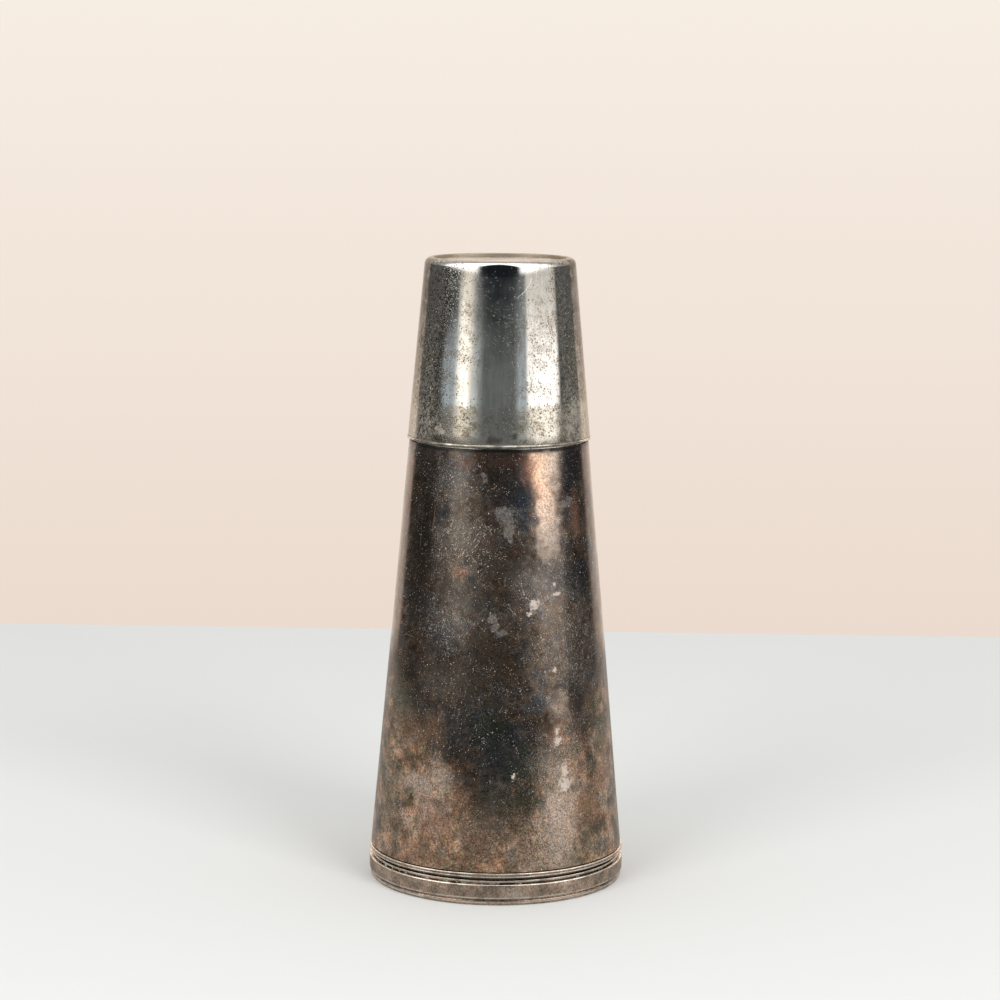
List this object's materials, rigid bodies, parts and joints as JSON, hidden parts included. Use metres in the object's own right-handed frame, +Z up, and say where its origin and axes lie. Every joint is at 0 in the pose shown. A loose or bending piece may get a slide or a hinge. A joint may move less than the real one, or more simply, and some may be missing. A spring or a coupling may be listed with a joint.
{
  "type": "bar jigger",
  "caption": "Tapered silver-plated bar jigger: a measure cup caps the neck of a conical mixing body with a lift-out pierced strainer and a moulded foot.",
  "frame": {"origin": "centre of the foot on the surface that it stands on", "axes": "+Z up along the axis of the body and the cup; -Y faces the camera of the picture"},
  "size_m": [0.068, 0.068, 0.1656],
  "materials": {
    "tarnished_silver": "heavily tarnished silver plate, dark brown to black with copper and blue-grey patches and pale specks",
    "bright_silver": "polished silver plate with speckled grey tarnish",
    "inner_silver": "satin silver plate, lightly tarnished"
  },
  "bodies": {
    "body": {"foot_ring": "tarnished_silver", "base_plate": "tarnished_silver", "base_bead_wire": "tarnished_silver", "body_shell": "tarnished_silver", "neck_collar": "inner_silver"},
    "strainer": {"strainer_sleeve": "inner_silver", "strainer_stop_wire": "inner_silver", "strainer_plate": "inner_silver"},
    "jigger_cup": {"cup_wall": "bright_silver", "cup_end_disc": "bright_silver", "cup_rim_wire": "bright_silver"}
  },
  "joints": [
    {"name": "strainer_lift", "type": "slide", "parent": "body", "child": "strainer", "axis": [0, 0, 1], "range_m": [0, 0.05]},
    {"name": "cup_lift", "type": "slide", "parent": "strainer", "child": "jigger_cup", "axis": [0, 0, 1], "range_m": [0, 0.06]}
  ]
}
